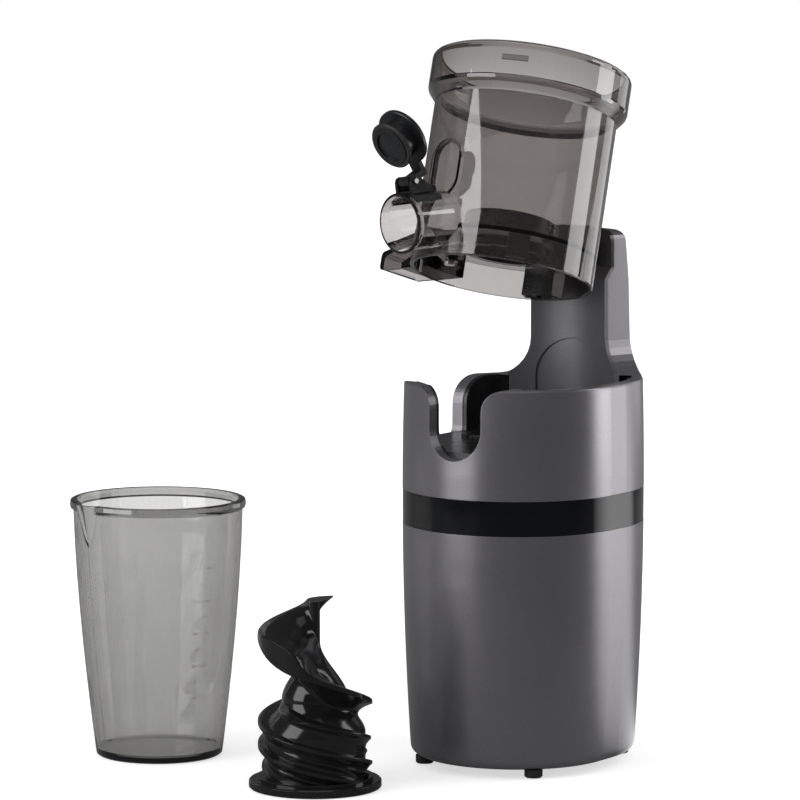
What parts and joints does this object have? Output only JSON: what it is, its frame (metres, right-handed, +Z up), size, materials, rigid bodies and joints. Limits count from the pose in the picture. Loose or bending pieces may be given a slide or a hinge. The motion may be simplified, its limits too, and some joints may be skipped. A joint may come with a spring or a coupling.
{
  "type": "cold press juicer",
  "caption": "Upright slow juicer on a motor base with a notched collar and a neck; the clear bowl is lifted off, auger and juice cup stand beside it.",
  "frame": {"origin": "on the counter under the middle of the motor base, in the plane of the feet's undersides", "axes": "+Z up; -Y towards the juice spout's notch in the collar, +Y the neck's side; -X towards the pulp chute's notch"},
  "size_m": [0.3139, 0.263, 0.4396],
  "materials": {
    "body_grey": "satin metallic grey",
    "black_gloss": "glossy black",
    "neck_dark": "satin dark grey",
    "black_plastic": "satin black",
    "smoke_clear": "clear smoke grey",
    "cup_clear": "clear smoke grey",
    "rubber_black": "matt black",
    "silicone": "satin black silicone",
    "steel": "ground steel",
    "screw_steel": "zinc plated",
    "cast_alloy": "die cast, as cast",
    "gear_plastic": "natural white",
    "sintered_bronze": "sintered bronze",
    "laminations": "blued steel sheet stack",
    "winding": "lacquered copper wire",
    "board_green": "lacquered board",
    "can_metal": "drawn can",
    "wire_red": "wire covering",
    "switch_red": "moulded"
  },
  "bodies": {
    "base": {"lower_housing": "body_grey", "upper_housing": "body_grey", "accent_band": "black_gloss", "neck_cover": "neck_dark", "neck_insert": "black_gloss", "well_tub": "black_plastic", "deck_seal": "silicone", "deck_screws": "screw_steel", "base_cover": "black_plastic", "base_screws": "screw_steel", "rubber_feet": "rubber_black", "gearbox_case": "cast_alloy", "gearbox_cover": "cast_alloy", "gearbox_screws": "screw_steel", "output_bush": "sintered_bronze", "layshaft_bushes": "sintered_bronze", "motor_stator": "laminations", "motor_windings": "winding", "motor_upper_frame": "cast_alloy", "motor_lower_frame": "cast_alloy", "motor_bearings": "steel", "motor_bolts": "screw_steel", "control_board": "board_green", "capacitor": "can_metal", "wiring": "wire_red", "mains_inlet": "rubber_black", "rocker_housing": "black_plastic", "safety_switch": "switch_red"},
    "bowl": {"juice_bowl": "smoke_clear", "floor_ring": "silicone", "locating_lugs": "black_plastic", "cap_bracket": "black_gloss", "cap_pin": "steel", "lever_pin": "steel"},
    "cap": {"spout_cap": "black_plastic", "cap_seal": "silicone"},
    "lever": {"pulp_lever": "black_plastic"},
    "auger": {"auger_screw": "black_plastic", "auger_base": "black_plastic", "drive_socket": "steel"},
    "cup": {"juice_cup": "cup_clear"},
    "rocker": {"power_rocker": "black_gloss"},
    "rotor": {"rotor_core": "laminations", "motor_shaft": "steel", "cooling_fan": "black_plastic"},
    "layshaft_set": {"layshaft": "steel", "layshaft_gear": "gear_plastic"},
    "output": {"output_gear": "gear_plastic", "drive_shaft": "steel"}
  },
  "joints": [
    {"name": "bowl_lift", "type": "slide", "parent": "base", "child": "bowl", "axis": [0, 0, 1], "range_m": [0, 0.06]},
    {"name": "cap_hinge", "type": "hinge", "parent": "bowl", "child": "cap", "pos_m": [-0.02522, -0.08709, 0.35666], "axis": [0.9629, -0.2371, 0.1291], "range_deg": [0, 155], "deforming": ["cap_seal"]},
    {"name": "pulp_lever_pivot", "type": "hinge", "parent": "bowl", "child": "lever", "pos_m": [-0.04031, -0.02, 0.30578], "axis": [-0.046, 0.3273, 0.9438], "range_deg": [-8, 9]},
    {"name": "rotor_spin", "type": "hinge", "parent": "base", "child": "rotor", "pos_m": [0, -0.0083, 0.1], "axis": [0, 0, 1], "continuous": true},
    {"name": "layshaft_spin", "type": "hinge", "parent": "base", "child": "layshaft_set", "pos_m": [0, 0.0229, 0.155], "axis": [0, 0, 1], "continuous": true},
    {"name": "output_spin", "type": "hinge", "parent": "base", "child": "output", "pos_m": [0, -0.0083, 0.165], "axis": [0, 0, 1], "continuous": true},
    {"name": "rocker_tilt", "type": "hinge", "parent": "base", "child": "rocker", "pos_m": [0, 0.07241, 0.112], "axis": [1, 0, 0], "range_deg": [-10, 10]},
    {"name": "auger_spin", "type": "hinge", "parent": "base", "child": "auger", "pos_m": [-0.0508, -0.1458, 0], "axis": [0, 0, 1], "continuous": true},
    {"name": "cup_lift", "type": "slide", "parent": "base", "child": "cup", "axis": [0, 0, 1], "range_m": [0, 0.06]}
  ],
  "couplings": [
    {"joint": "layshaft_spin", "follows": "rotor_spin", "ratio": -0.18182},
    {"joint": "output_spin", "follows": "rotor_spin", "ratio": 0.054545}
  ]
}
